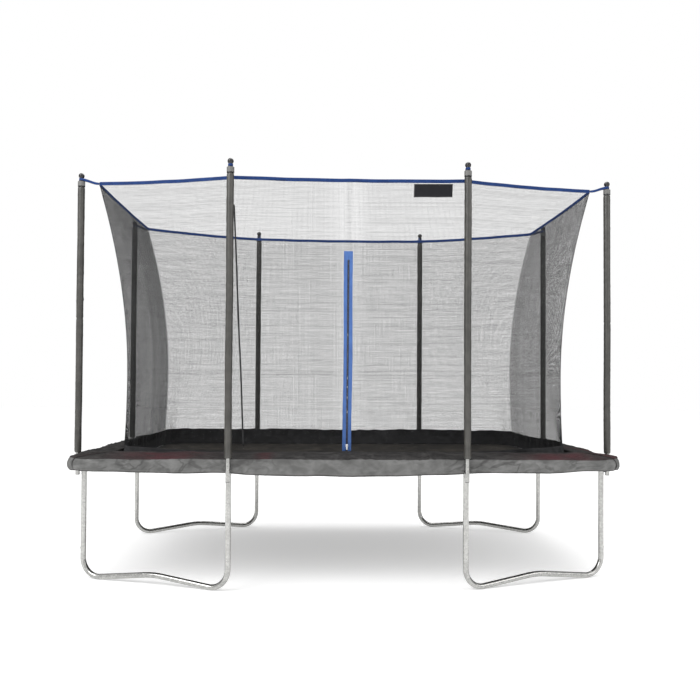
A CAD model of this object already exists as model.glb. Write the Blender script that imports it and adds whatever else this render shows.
"""Rectangular garden trampoline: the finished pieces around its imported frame.

Metres, +Z up. The long sides run along X and the zipped entrance is on the -Y side. Each
sub-assembly is a class that builds its meshes as numpy grids and dresses them and its CAD
nodes. Positions come from the CAD nodes' boxes.
"""
import logging
import math
from dataclasses import dataclass, field
from enum import Enum
from typing import Mapping, Sequence

import bmesh
import bpy
import numpy as np
from mathutils import Matrix, Vector


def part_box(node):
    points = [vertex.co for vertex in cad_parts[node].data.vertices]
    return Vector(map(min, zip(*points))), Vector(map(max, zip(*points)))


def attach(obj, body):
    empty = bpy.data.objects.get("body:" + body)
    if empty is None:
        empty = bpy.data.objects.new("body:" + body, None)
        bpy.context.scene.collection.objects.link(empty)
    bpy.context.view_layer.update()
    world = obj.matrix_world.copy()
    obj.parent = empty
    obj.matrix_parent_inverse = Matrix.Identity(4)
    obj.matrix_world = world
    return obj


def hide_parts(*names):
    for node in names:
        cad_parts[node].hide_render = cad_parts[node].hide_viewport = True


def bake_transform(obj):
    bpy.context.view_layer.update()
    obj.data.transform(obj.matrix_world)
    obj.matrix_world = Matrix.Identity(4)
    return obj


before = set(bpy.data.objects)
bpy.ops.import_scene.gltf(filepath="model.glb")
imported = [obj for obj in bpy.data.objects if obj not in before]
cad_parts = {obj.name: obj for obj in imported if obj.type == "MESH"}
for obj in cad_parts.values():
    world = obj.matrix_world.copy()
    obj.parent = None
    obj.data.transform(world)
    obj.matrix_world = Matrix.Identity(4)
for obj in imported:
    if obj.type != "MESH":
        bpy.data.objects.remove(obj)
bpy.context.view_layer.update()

LOG = logging.getLogger("trampoline")
Array = np.ndarray
Colour = tuple[float, float, float]
TURN = 2 * math.pi
UP = np.array([0.0, 0.0, 1.0])
# Metres, about, to one unit of the net's u and of its v: the scale of its waves.
ROUND, CLIMB = 2.5, 1.9


# ---------------------------------------------------------------- numbers and shapes


def mix(a: float | Array, b: float | Array, share: float | Array) -> float | Array:
    """a where share is 0 and b where it is 1, in a straight line between."""
    return a + (b - a) * share


def smooth(x: Array, start: float, end: float) -> Array:
    """0 before start, 1 after end and 3t^2 - 2t^3 between."""
    t = np.clip((x - start) / (end - start), 0, 1)
    return t * t * (3 - 2 * t)


def bell(x: Array, middle: float, half: float) -> Array:
    """exp(-((x - middle) / half)^2), a rounded bump of height 1."""
    return np.exp(-(((x - middle) / half) ** 2))


def ramp(x: Array, softness: float) -> Array:
    """(x + sqrt(x^2 + softness^2)) / 2, which is max(x, 0) with its kink rounded."""
    return (x + np.sqrt(x * x + softness * softness)) / 2


def ripple(x: Array, y: Array, lengths: tuple[float, float], seed: int, waves: int = 7) -> Array:
    """Smooth irregular field between about -1 and 1.

    It is the mean of sines, each with its own direction, wavelength and phase.

    Args:
        x: first coordinate, in metres.
        y: second coordinate, in metres.
        lengths: shortest and longest wavelength, in metres.
        seed: seed of the directions, wavelengths and phases.
        waves: number of sines.

    Returns:
        The field, in the shape of x and y together.
    """
    rng = np.random.default_rng(seed)
    total = np.zeros(np.broadcast(x, y).shape)
    for angle, length, phase in zip(
        rng.uniform(0, TURN, waves), rng.uniform(*lengths, waves), rng.uniform(0, TURN, waves)
    ):
        total += np.sin(TURN * (x * math.cos(angle) + y * math.sin(angle)) / length + phase)
    return total / math.sqrt(waves) / 1.4


def turned(points: Array, angle: float) -> Array:
    """Points turned about the upright axis by an angle in radians."""
    c, s = math.cos(angle), math.sin(angle)
    return points @ np.array([[c, s, 0], [-s, c, 0], [0, 0, 1]])


def unit(vectors: Array) -> Array:
    """Vectors scaled to length 1 along their last axis."""
    return vectors / np.maximum(np.linalg.norm(vectors, axis=-1, keepdims=True), 1e-12)


def sweep(path: Array, across: Array, up: Array, profile: Array) -> Array:
    """A profile carried along a path: path + profile_x * across + profile_y * up.

    Args:
        path: points of the path, shape (..., n, 3).
        across: the profile's first axis at each point, broadcastable to path.
        up: the profile's second axis at each point, broadcastable to path.
        profile: outline in the two axes, shape (m, 2) or (..., n, m, 2).

    Returns:
        Surface points, shape (..., n, m, 3).
    """
    across, up = np.broadcast_to(across, path.shape), np.broadcast_to(up, path.shape)
    sideways = profile[..., 0:1] * across[..., None, :]
    upward = profile[..., 1:2] * up[..., None, :]
    return path[..., None, :] + sideways + upward


def ring(radius: float | Array, sides: int, start: float = 0.0) -> Array:
    """Circle outline of the given number of points; an array of radii gives one outline each."""
    a = start + np.arange(sides) * TURN / sides
    return np.asarray(radius)[..., None, None] * np.stack([np.cos(a), np.sin(a)], -1)


def flat_strip(width: float, thickness: float, across: int = 5) -> Array:
    """Closed outline of a flat strip with rounded edges, width along its first axis.

    The top runs from one edge to the other, each edge is one point further out, and the
    bottom runs back.

    Args:
        width: size along the first axis.
        thickness: size along the second axis.
        across: points along each face.

    Returns:
        Outline, shape (2 * across + 2, 2).
    """
    x = np.linspace(1, -1, across) * (width / 2 - thickness / 3)
    half = np.full(across, thickness / 2)
    edge = np.array([[-width / 2, 0]])
    return np.concatenate([np.stack([x, half], -1), edge, np.stack([-x, -half], -1), -edge])


def path_frame(path: Array, closed: bool, up: Array) -> tuple[Array, Array]:
    """The sideways and upward unit vectors along a path.

    The tangent is the central difference of the points, sideways is tangent x up, and
    upward is sideways x tangent.

    Args:
        path: points, shape (..., n, 3).
        closed: whether the last point is followed by the first.
        up: direction that upward stays near.

    Returns:
        The sideways and the upward vectors, each in the shape of path.
    """
    if closed:
        tangent = np.roll(path, -1, -2) - np.roll(path, 1, -2)
    else:
        tangent = np.gradient(path, axis=-2)
    side = unit(np.cross(unit(tangent), up))
    return side, unit(np.cross(side, unit(tangent)))


@dataclass
class Shape:
    """Grids of points gathered into one mesh."""

    points: list[Array] = field(default_factory=list)
    faces: list[Array] = field(default_factory=list)
    uvs: list[Array] = field(default_factory=list)
    values: dict[str, list[Array]] = field(default_factory=dict)
    count: int = 0

    def grid(
        self,
        points: Array,
        close_rows: bool = False,
        close_columns: bool = False,
        uv: tuple[Array, Array] | None = None,
        poles: bool = False,
        flip: bool = False,
        **values: Array,
    ) -> "Shape":
        """Adds a grid, or a batch of equal grids, as quads between neighbouring points.

        Args:
            points: shape (rows, columns, 3), or (batch, rows, columns, 3).
            close_rows: joins the last row to the first.
            close_columns: joins the last column to the first.
            uv: the texture coordinate of each row and of each column, with one more
                value in a closed direction.
            poles: makes each of the first and the last row one point, which closes the ends.
            flip: turns the faces over.
            **values: number at each point, by attribute name.

        Returns:
            The shape itself.
        """
        batch = points[None] if points.ndim == 3 else points
        many, rows, columns = batch.shape[:3]
        if poles:
            batch = batch.copy()
            batch[:, [0, -1]] = batch[:, [0, -1]].mean(2, keepdims=True)
        row = np.arange(rows if close_rows else rows - 1)[:, None]
        column = np.arange(columns if close_columns else columns - 1)[None, :]
        next_row, next_column = (row + 1) % rows, (column + 1) % columns
        quads = np.stack(
            [row * columns + column, row * columns + next_column,
             next_row * columns + next_column, next_row * columns + column], -1
        ).reshape(-1, 4)
        if uv is not None:
            u, v = (np.asarray(k, float) for k in uv)
            corner = np.stack(
                [np.stack(np.broadcast_arrays(u[row + i], v[column + j]), -1)
                 for i, j in ((0, 0), (0, 1), (1, 1), (1, 0))], 2
            ).reshape(-1, 4, 2)
        else:
            corner = np.zeros((len(quads), 4, 2))
        if flip:
            quads, corner = quads[:, ::-1], corner[:, ::-1]
        offsets = self.count + np.arange(many)[:, None, None] * rows * columns
        self.faces.append((quads[None] + offsets).reshape(-1, 4))
        self.uvs.append(np.broadcast_to(corner, (many, *corner.shape)).reshape(-1, 4, 2))
        self.points.append(batch.reshape(-1, 3))
        for name, value in values.items():
            full = np.broadcast_to(value, batch.shape[:3]).reshape(-1)
            self.values.setdefault(name, []).append(full)
        self.count += many * rows * columns
        return self

    def made(
        self, name: str, finish: "Finish", soft: bool = True, merge: bool = False
    ) -> bpy.types.Object:
        """The gathered grids as one object at the origin.

        Args:
            name: name of the piece.
            finish: what it is covered in.
            soft: smooth shading.
            merge: welds points that coincide, for grids with closed poles.

        Returns:
            The new object.
        """
        points, faces = np.concatenate(self.points), np.concatenate(self.faces)
        mesh = bpy.data.meshes.new(name)
        mesh.vertices.add(len(points))
        mesh.vertices.foreach_set("co", points.astype(np.float32).ravel())
        mesh.loops.add(faces.size)
        mesh.loops.foreach_set("vertex_index", faces.astype(np.int32).ravel())
        mesh.polygons.add(len(faces))
        mesh.polygons.foreach_set("loop_start", np.arange(len(faces), dtype=np.int32) * 4)
        mesh.uv_layers.new(name="UVMap").uv.foreach_set(
            "vector", np.concatenate(self.uvs).astype(np.float32).ravel()
        )
        for key, value in self.values.items():
            layer = mesh.attributes.new(key, "FLOAT", "POINT")
            layer.data.foreach_set("value", np.concatenate(value).astype(np.float32))
        mesh.polygons.foreach_set("use_smooth", np.full(len(faces), soft))
        mesh.update(calc_edges=True)
        if merge:
            weld(mesh)
        mesh.materials.append(finish.material())
        made = bpy.data.objects.new(name, mesh)
        bpy.context.scene.collection.objects.link(made)
        return made


def weld(mesh: bpy.types.Mesh) -> None:
    """Joins points that coincide and drops the faces that have no area.

    Args:
        mesh: mesh to mend in place.
    """
    work = bmesh.new()
    work.from_mesh(mesh)
    bmesh.ops.remove_doubles(work, verts=work.verts, dist=1e-6)
    bmesh.ops.dissolve_degenerate(work, edges=work.edges, dist=1e-7)
    work.to_mesh(mesh)
    work.free()


def thicken(piece: bpy.types.Object, thickness: float, offset: float = 0.0) -> None:
    """Gives a single layer of cloth a thickness with Solidify."""
    wall = piece.modifiers.new("thickness", "SOLIDIFY")
    wall.thickness, wall.offset = thickness, offset


# ---------------------------------------------------------------- finishes


class Sock:
    """A shader socket in arithmetic: each operation adds its Math node."""

    def __init__(self, nodes: "Nodes", socket: bpy.types.NodeSocket) -> None:
        """Keeps the node tree and the output socket."""
        self.nodes, self.socket = nodes, socket

    def math(self, operation: str, *values: "float | Sock") -> "Sock":
        """A Math node of that operation on the values."""
        return self.nodes.add("ShaderNodeMath", {"operation": operation}, dict(enumerate(values)))

    def __add__(self, other: "float | Sock") -> "Sock":
        """self + other."""
        return self.math("ADD", self, other)

    def __radd__(self, other: float) -> "Sock":
        """other + self."""
        return self.math("ADD", other, self)

    def __sub__(self, other: "float | Sock") -> "Sock":
        """self - other."""
        return self.math("SUBTRACT", self, other)

    def __rsub__(self, other: float) -> "Sock":
        """other - self."""
        return self.math("SUBTRACT", other, self)

    def __mul__(self, other: "float | Sock") -> "Sock":
        """self * other."""
        return self.math("MULTIPLY", self, other)

    def __rmul__(self, other: float) -> "Sock":
        """other * self."""
        return self.math("MULTIPLY", other, self)

    def __truediv__(self, other: "float | Sock") -> "Sock":
        """self / other."""
        return self.math("DIVIDE", self, other)

    def wave(self, length: float) -> "Sock":
        """Sine of a coordinate with that wavelength, from 0 to 1."""
        return self.math("SINE", self * (TURN / length)) * 0.5 + 0.5

    def size(self) -> "Sock":
        """Absolute value."""
        return self.math("ABSOLUTE", self)

    def least(self, other: "float | Sock") -> "Sock":
        """The smaller of self and other."""
        return self.math("MINIMUM", self, other)

    def most(self, other: "float | Sock") -> "Sock":
        """The larger of self and other."""
        return self.math("MAXIMUM", self, other)

    def step(self, start: float, end: float, low: float = 0.0, high: float = 1.0) -> "Sock":
        """low before start and high after end, smooth between."""
        sockets = {0: self, 1: start, 2: end, 3: low, 4: high}
        return self.nodes.add("ShaderNodeMapRange", {"interpolation_type": "SMOOTHSTEP"}, sockets)


class Nodes:
    """The shader nodes of one material or of the world."""

    def __init__(self, tree: bpy.types.NodeTree) -> None:
        """Empties the tree."""
        self.tree = tree
        tree.nodes.clear()

    def add(
        self,
        kind: str,
        settings: Mapping[str, object] | None = None,
        sockets: Mapping[str | int, object] | None = None,
        out: str | int = 0,
    ) -> Sock:
        """Adds a node: its settings first, then the values or links of its sockets.

        Args:
            kind: type of the node.
            settings: properties by name; "stops" is a ramp's (position, colour) pairs.
            sockets: number, colour or Sock by socket name or index.
            out: the output that the result stands for.

        Returns:
            The chosen output, wrapped.
        """
        node = self.tree.nodes.new(kind)
        for key, value in (settings or {}).items():
            if key == "stops":
                elements = node.color_ramp.elements
                while len(elements) < len(value):
                    elements.new(1.0)
                for element, (position, colour) in zip(elements, value):
                    element.position, element.color = position, (*colour, 1.0)
            else:
                setattr(node, key, value)
        for key, value in (sockets or {}).items():
            socket = node.inputs[key]
            if isinstance(value, Sock):
                self.tree.links.new(value.socket, socket)
            elif isinstance(value, tuple) and len(value) == 3 and socket.type == "RGBA":
                socket.default_value = (*value, 1.0)
            else:
                socket.default_value = value
        return Sock(self, node.outputs[out] if len(node.outputs) else None)

    def place(self) -> Sock:
        """Object coordinates."""
        return self.add("ShaderNodeTexCoord", out="Object")

    def axes(self, vector: Sock) -> tuple[Sock, Sock, Sock]:
        """The three parts of a vector."""
        node = self.add("ShaderNodeSeparateXYZ", sockets={0: vector}).socket.node
        return tuple(Sock(self, node.outputs[i]) for i in range(3))

    def cloth(self) -> tuple[Sock, Sock]:
        """The piece's own UV: along and across, in metres."""
        return self.axes(self.add("ShaderNodeUVMap", {"uv_map": "UVMap"}))[:2]

    def vector(self, x: object, y: object, z: object = 0.0) -> Sock:
        """Three numbers or sockets as a vector."""
        return self.add("ShaderNodeCombineXYZ", sockets={0: x, 1: y, 2: z})

    def noise(self, at: Sock, scale: float, detail: float = 3.0, warp: float = 0.0) -> Sock:
        """Noise texture's grey value."""
        sockets = {"Vector": at, "Scale": scale, "Detail": detail, "Distortion": warp}
        return self.add("ShaderNodeTexNoise", sockets=sockets)

    def cells(self, at: Sock, scale: float) -> Sock:
        """A grey value that is the same all over each Voronoi cell."""
        colour = self.add("ShaderNodeTexVoronoi", sockets={"Vector": at, "Scale": scale}, out="Color")
        return self.axes(colour)[0]

    def blend(self, share: "Sock | float", a: "Colour | Sock", b: "Colour | Sock") -> Sock:
        """Colour a mixed with colour b by a share."""
        return self.add("ShaderNodeMix", {"data_type": "RGBA"}, {0: share, 6: a, 7: b}, out=2)

    def relief(self, height: Sock, depth: float, strength: float = 1.0) -> Sock:
        """Bump node of a height from 0 to 1, which stands for depth metres."""
        sockets = {"Height": height, "Distance": depth, "Strength": strength}
        return self.add("ShaderNodeBump", sockets=sockets)

    def shaded(
        self, colour: "Colour | Sock", rough: "float | Sock", normal: Sock | None = None, **fixed: object
    ) -> None:
        """Ends the material in a Principled shader; fixed sockets are named with _ for a space.

        Args:
            colour: base colour.
            rough: roughness.
            normal: normal, or None for the surface's own.
            **fixed: numbers or sockets for other inputs, by name.
        """
        sockets = {"Base Color": colour, "Roughness": rough}
        sockets.update({key.replace("_", " "): value for key, value in fixed.items()})
        if normal is not None:
            sockets["Normal"] = normal
        shader = self.add("ShaderNodeBsdfPrincipled", sockets=sockets)
        self.add("ShaderNodeOutputMaterial", sockets={"Surface": shader})


@dataclass(frozen=True)
class Finish:
    """A named surface finish, made into one material when it is first used."""

    name: str

    def build(self, nodes: Nodes) -> None:
        """Adds the finish's nodes."""
        raise NotImplementedError

    def material(self) -> bpy.types.Material:
        """The finish's material.

        Returns:
            The material, which is made on the first call.
        """
        title = f"{self.name}_finish"
        found = bpy.data.materials.get(title)
        if found is None:
            found = bpy.data.materials.new(title)
            found.use_nodes = True
            self.build(Nodes(found.node_tree))
        return found


@dataclass(frozen=True)
class ZincCoat(Finish):
    """Hot-dipped or plated zinc: crystal spangle, drawn streaks and duller patches."""

    bright: Colour = (0.5, 0.5, 0.485)
    dull: Colour = (0.33, 0.33, 0.32)
    rough: float = 0.15
    spangle: float = 90.0

    def build(self, nodes: Nodes) -> None:
        """Spangle cells and two noises set the colour and the roughness.

        Args:
            nodes: the material's nodes.
        """
        at = nodes.place()
        x, y, z = nodes.axes(at)
        grain = nodes.cells(at, self.spangle)
        patch = nodes.noise(at, 9.0, 4.0, 0.6)
        streak = nodes.noise(nodes.vector(x * 60.0, y * 60.0, z * 2.5), 3.0, 2.0)
        share = (grain * 0.45 + patch * 0.5 + streak * 0.3 - 0.1).step(0.15, 0.95)
        rough = self.rough + grain * 0.06 + patch * 0.1
        height = nodes.noise(at, 420.0, 2.0) * 0.5 + grain * 0.3
        colour = nodes.blend(share, self.dull, self.bright)
        nodes.shaded(colour, rough, nodes.relief(height, 0.0003, 0.12), Metallic=1.0)


@dataclass(frozen=True)
class Moulded(Finish):
    """Moulded plastic with a fine grain and faint scuffs."""

    colour: Colour = (0.012, 0.012, 0.013)
    rough: float = 0.25

    def build(self, nodes: Nodes) -> None:
        """Noise scuffs lighten the colour a little and roughen the gloss.

        Args:
            nodes: the material's nodes.
        """
        at = nodes.place()
        scuff = nodes.noise(at, 140.0, 5.0, 1.0).step(0.52, 0.78)
        lighter = tuple(c * 1.8 + 0.01 for c in self.colour)
        rough = self.rough + scuff * 0.25 + nodes.noise(at, 35.0) * 0.08
        nodes.shaded(
            nodes.blend(scuff * 0.6, self.colour, lighter), rough,
            nodes.relief(nodes.noise(at, 1500.0, 2.0), 0.00015, 0.4), IOR=1.5,
        )


@dataclass(frozen=True)
class CapPlastic(Finish):
    """Pole cap: glossy black ball and neck over a grey collar with a black lip."""

    collar_top: float = 2.75
    lip_top: float = 2.716
    black: Colour = (0.01, 0.01, 0.011)
    grey: Colour = (0.115, 0.113, 0.108)

    def build(self, nodes: Nodes) -> None:
        """The height above the ground chooses the colour and the gloss.

        Args:
            nodes: the material's nodes.
        """
        at = nodes.place()
        height = nodes.axes(at)[2]
        collar = height.step(self.lip_top, self.lip_top + 0.001) * height.step(
            self.collar_top, self.collar_top + 0.001, 1.0, 0.0
        )
        scuff = nodes.noise(at, 160.0, 5.0, 1.0)
        lighter = tuple(c * 1.25 for c in self.grey)
        colour = nodes.blend(collar, self.black, nodes.blend(scuff, self.grey, lighter))
        nodes.shaded(
            colour, 0.1 + collar * 0.36 + scuff * 0.06,
            nodes.relief(nodes.noise(at, 1300.0, 2.0), 0.0001, 0.08), IOR=1.5,
        )


@dataclass(frozen=True)
class SleeveCloth(Finish):
    """Coated polyester over foam: warm grey, fine plain weave, rubbed lighter in patches."""

    colour: Colour = (0.032, 0.031, 0.028)
    worn: Colour = (0.07, 0.067, 0.06)
    thread: float = 0.0011

    def build(self, nodes: Nodes) -> None:
        """Weave from two sines of the UV; patches and length-wise streaks from noise.

        Args:
            nodes: the material's nodes.
        """
        at = nodes.place()
        u, v = nodes.cloth()
        weave = u.wave(self.thread) * v.wave(self.thread)
        patch = nodes.noise(at, 14.0, 4.0, 0.8)
        streak = nodes.noise(nodes.vector(u * 2.0, v * 90.0, 0.0), 1.0, 3.0)
        share = (patch * 0.6 + streak * 0.5).step(0.35, 0.85)
        colour = nodes.blend(share, self.colour, self.worn)
        height = weave * 0.5 + nodes.noise(at, 55.0, 3.0) * 0.8
        nodes.shaded(colour, 0.26 + patch * 0.12, nodes.relief(height, 0.0008, 0.3), IOR=1.52)


@dataclass(frozen=True)
class PadCover(Finish):
    """Coated cloth of the pads: near-black top, mid-grey skirt, burgundy where it has faded."""

    top: Colour = (0.011, 0.01, 0.01)
    top_worn: Colour = (0.042, 0.04, 0.039)
    fade: Colour = (0.045, 0.013, 0.016)
    skirt: Colour = (0.085, 0.085, 0.083)
    skirt_worn: Colour = (0.19, 0.19, 0.187)
    stitch: Colour = (0.16, 0.16, 0.155)
    thread: float = 0.0012

    def build(self, nodes: Nodes) -> None:
        """The attributes skirt, fade and seam mark the panels, the faded stretches and stitching.

        Args:
            nodes: the material's nodes.
        """
        at = nodes.place()
        u, v = nodes.cloth()
        skirt, fade, seam = (
            nodes.add("ShaderNodeAttribute", {"attribute_name": key}, out="Fac")
            for key in ("skirt", "fade", "seam")
        )
        blotch = nodes.noise(at, 7.0, 5.0, 0.9)
        crease = nodes.noise(nodes.vector(u * 6.0, v * 13.0, 0.0), 1.6, 4.0, 1.1)
        top = nodes.blend((blotch * 0.55 + crease * 0.6).step(0.42, 0.8), self.top, self.top_worn)
        top = nodes.blend(fade * blotch.step(0.3, 0.62, 0.45, 1.0), top, self.fade)
        side = nodes.blend((blotch * 0.5 + crease * 0.5).step(0.3, 0.8), self.skirt, self.skirt_worn)
        slant = nodes.vector(u * 7.0 + v * 9.0, v * 10.0 - u * 3.0, 0.0)
        fold = (nodes.noise(slant, 1.0, 2.0, 0.6) - 0.5).size().step(0.0, 0.075, 1.0, 0.0)
        fold = fold * nodes.noise(at, 3.1, 2.0).step(0.42, 0.6)
        colour = nodes.blend(fold * 0.42, nodes.blend(skirt, top, side), self.top)
        thread = seam * u.wave(0.0055).step(0.35, 0.6)
        colour = nodes.blend(thread * 0.7, colour, self.stitch)
        weave = u.wave(self.thread) * v.wave(self.thread)
        height = weave * 0.12 + crease * 0.6 + thread * 0.4 - fold * 0.5
        nodes.shaded(colour, 0.6 + blotch * 0.2, nodes.relief(height, 0.0035, 0.8), Specular_IOR_Level=0.2)


@dataclass(frozen=True)
class MatWeave(Finish):
    """Woven polypropylene: black tapes over and under, dusted brown in patches."""

    dark: Colour = (0.011, 0.01, 0.0085)
    dusty: Colour = (0.06, 0.053, 0.044)
    tape: float = 0.0026

    def build(self, nodes: Nodes) -> None:
        """A checker of sines in X and Y for the tapes, and slow noise for the dust.

        Args:
            nodes: the material's nodes.
        """
        at = nodes.place()
        x, y, _ = nodes.axes(at)
        over = (x.wave(self.tape * 2) - 0.5) * (y.wave(self.tape * 2) - 0.5) * 2.0 + 0.5
        dust = nodes.noise(at, 2.6, 6.0, 1.2)
        scuffs = nodes.noise(nodes.vector(x * 3.0, y * 1.2, 0.0), 2.0, 6.0, 2.0)
        share = (dust * 0.6 + scuffs * 0.6).step(0.45, 0.9)
        colour = nodes.blend(share * (0.6 + over * 0.4), self.dark, self.dusty)
        nodes.shaded(colour, 0.55 + dust * 0.25, nodes.relief(over, 0.0006, 0.35), Specular_IOR_Level=0.15)


@dataclass(frozen=True)
class Webbing(Finish):
    """Flat woven strap or tape, with lengthwise ribs, selvedges and rows of stitching."""

    colour: Colour = (0.006, 0.026, 0.105)
    light: Colour = (0.013, 0.048, 0.175)
    stitch: Colour = (0.03, 0.06, 0.24)
    rib: float = 0.0018
    rows: tuple[float, ...] = ()
    worn: float = 0.35
    rough: float = 0.62

    def build(self, nodes: Nodes) -> None:
        """Ribs and picks are sines of the UV; each row of stitches is a dashed line across v.

        Args:
            nodes: the material's nodes.
        """
        at = nodes.place()
        u, v = nodes.cloth()
        weave = v.wave(self.rib) * 0.6 + u.wave(self.rib * 0.7) * 0.4
        patch = nodes.noise(at, 22.0, 4.0, 0.5)
        faded = (patch + weave * 0.3).step(0.5, 1.0) * self.worn * 2.0
        colour = nodes.blend(faded, self.colour, self.light)
        height = weave * 0.5
        for row in self.rows:
            line = (v - row).size().step(0.0007, 0.0011, 1.0, 0.0) * u.wave(0.0045).step(0.25, 0.5)
            colour = nodes.blend(line, colour, self.stitch)
            height = height + line * 0.5
        nodes.shaded(
            colour, self.rough + patch * 0.12, nodes.relief(height, 0.0006, 0.6), Specular_IOR_Level=0.2
        )


@dataclass(frozen=True)
class ZipTape(Finish):
    """Blue zip tape whose inner edges are black under the teeth."""

    blue: Colour = (0.028, 0.085, 0.27)
    faded: Colour = (0.05, 0.13, 0.36)
    black: Colour = (0.01, 0.012, 0.03)
    band: float = 0.0062
    teeth_top: float = 2.18

    def build(self, nodes: Nodes) -> None:
        """v is the distance from the middle of the zip; u is the height above the ground.

        Args:
            nodes: the material's nodes.
        """
        at = nodes.place()
        u, v = nodes.cloth()
        across = v.size()
        patch = nodes.noise(at, 18.0, 4.0, 0.7)
        ribs = v.wave(0.0014) * 0.5 + u.wave(0.0011) * 0.5
        colour = nodes.blend((patch * 0.8 + ribs * 0.25).step(0.3, 0.85), self.blue, self.faded)
        stitches = (across - 0.0265).size().step(0.0006, 0.001, 1.0, 0.0) * u.wave(0.004).step(0.3, 0.5)
        colour = nodes.blend(stitches * 0.6, colour, self.faded)
        teeth_zone = across.step(self.band, self.band + 0.0006, 1.0, 0.0) * u.step(
            self.teeth_top - 0.001, self.teeth_top + 0.001, 1.0, 0.0
        )
        colour = nodes.blend(teeth_zone, colour, self.black)
        height = ribs * 0.5 + stitches * 0.5 + across.step(0.013, 0.0135) * 0.2
        nodes.shaded(colour, 0.6 + patch * 0.1, nodes.relief(height, 0.0006, 0.55), Sheen_Weight=0.2)


@dataclass(frozen=True)
class NetYarn(Finish):
    """Black polyester yarn of the net."""

    dark: Colour = (0.006, 0.006, 0.0065)
    pale: Colour = (0.024, 0.024, 0.025)

    def build(self, nodes: Nodes) -> None:
        """Noise along the yarn lightens it where the light has bleached it.

        Args:
            nodes: the material's nodes.
        """
        at = nodes.place()
        bleached = nodes.noise(at, 3.5, 5.0, 0.8)
        twist = nodes.noise(at, 900.0, 2.0)
        nodes.shaded(
            nodes.blend(bleached.step(0.4, 0.75), self.dark, self.pale), 0.55 + bleached * 0.2,
            nodes.relief(twist, 0.0003, 0.5), Specular_IOR_Level=0.25,
        )


@dataclass(frozen=True)
class NetMesh(Finish):
    """The finest loops of the knit, as a thin film with level streaks."""

    colour: Colour = (0.012, 0.012, 0.013)
    thin: float = 0.03
    thick: float = 0.145

    def build(self, nodes: Nodes) -> None:
        """Alpha is noise that is stretched along the courses: v runs up the net.

        Args:
            nodes: the material's nodes.
        """
        u, v = nodes.cloth()
        streak = nodes.noise(nodes.vector(u * 2.2, v * 75.0, 0.0), 1.0, 3.0, 0.2)
        fine = nodes.noise(nodes.vector(u * 7.0, v * 210.0, 0.0), 1.0, 2.0)
        alpha = (streak * 0.4 + fine * 0.6).step(0.34, 0.68, self.thin, self.thick)
        nodes.shaded(self.colour, 0.7, Alpha=alpha, Specular_IOR_Level=0.2)


@dataclass(frozen=True)
class TagCloth(Finish):
    """Plain woven tag with a stitched border."""

    colour: Colour = (0.005, 0.005, 0.007)
    border: Colour = (0.05, 0.05, 0.055)
    size: tuple[float, float] = (0.26, 0.088)

    def build(self, nodes: Nodes) -> None:
        """A dashed line runs 5 mm inside the edge; u and v are measured from the tag's middle.

        Args:
            nodes: the material's nodes.
        """
        u, v = nodes.cloth()
        from_edge = (self.size[0] / 2 - u.size()).least(self.size[1] / 2 - v.size())
        dashes = (u + v).wave(0.005).step(0.3, 0.5)
        line = (from_edge - 0.005).size().step(0.0006, 0.001, 1.0, 0.0) * dashes
        satin = (u + v * 1.7).wave(0.0012) * 0.6 + v.wave(0.0009) * 0.4
        patch = nodes.noise(nodes.place(), 30.0, 3.0)
        colour = nodes.blend(line, nodes.blend(patch * 0.15, self.colour, self.border), self.border)
        relief = nodes.relief(satin * 0.4 + line * 0.6, 0.0005, 0.5)
        nodes.shaded(colour, 0.5 + patch * 0.1, relief, Specular_IOR_Level=0.2)


@dataclass(frozen=True)
class StudioFloor(Finish):
    """Seamless white studio floor."""

    colour: Colour = (0.8, 0.8, 0.8)
    glow: float = 0.42

    def build(self, nodes: Nodes) -> None:
        """An even white with the faintest mottling, lit a little from below."""
        mottle = nodes.noise(nodes.place(), 0.7, 2.0)
        nodes.shaded(
            nodes.blend(mottle, self.colour, tuple(c * 1.01 for c in self.colour)), 0.9,
            Emission_Color=(1.0, 1.0, 1.0, 1.0), Emission_Strength=self.glow,
        )


GALVANISED = ZincCoat("galvanised_tube")
SPRING_ZINC = ZincCoat(
    "spring_zinc", bright=(0.68, 0.68, 0.67), dull=(0.48, 0.48, 0.47), rough=0.24, spangle=400.0
)
BOLT_ZINC = ZincCoat(
    "bolt_zinc", bright=(0.6, 0.6, 0.57), dull=(0.36, 0.36, 0.35), rough=0.32, spangle=500.0
)
NICKEL = ZincCoat(
    "zip_nickel", bright=(0.85, 0.84, 0.82), dull=(0.7, 0.69, 0.67), rough=0.12, spangle=900.0
)
BLACK_PLASTIC = Moulded("black_plastic", rough=0.38)
TOOTH_PLASTIC = Moulded("tooth_plastic", colour=(0.008, 0.01, 0.026), rough=0.3)
BLUE_WEBBING = Webbing("blue_webbing", rows=(0.0035, 0.0205))
BLUE_STRAP = Webbing("blue_strap", rows=(0.003, 0.013))
BLACK_HEM = Webbing(
    "black_hem", colour=(0.012, 0.012, 0.012), light=(0.04, 0.039, 0.038),
    stitch=(0.09, 0.09, 0.088), rows=(0.006, 0.033)
)
BLACK_BAND = Webbing(
    "black_band", colour=(0.012, 0.012, 0.013), light=(0.035, 0.035, 0.036),
    stitch=(0.06, 0.06, 0.06), rib=0.0022, rows=(0.01,), rough=0.72
)
BLACK_TAPE = Webbing(
    "black_tape", colour=(0.012, 0.012, 0.013), light=(0.03, 0.03, 0.032),
    stitch=(0.07, 0.07, 0.07), rows=(0.003, 0.009)
)


# ---------------------------------------------------------------- shared layout


class Side(Enum):
    """A side of the trampoline, by its turn from the front in quarter turns."""

    FRONT = 0
    RIGHT = 1
    BACK = 2
    LEFT = 3

    @property
    def angle(self) -> float:
        """Turn about the upright axis that takes the front side here."""
        return self.value * math.pi / 2

    @property
    def long(self) -> bool:
        """Whether it is a long side."""
        return self.value % 2 == 0


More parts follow.
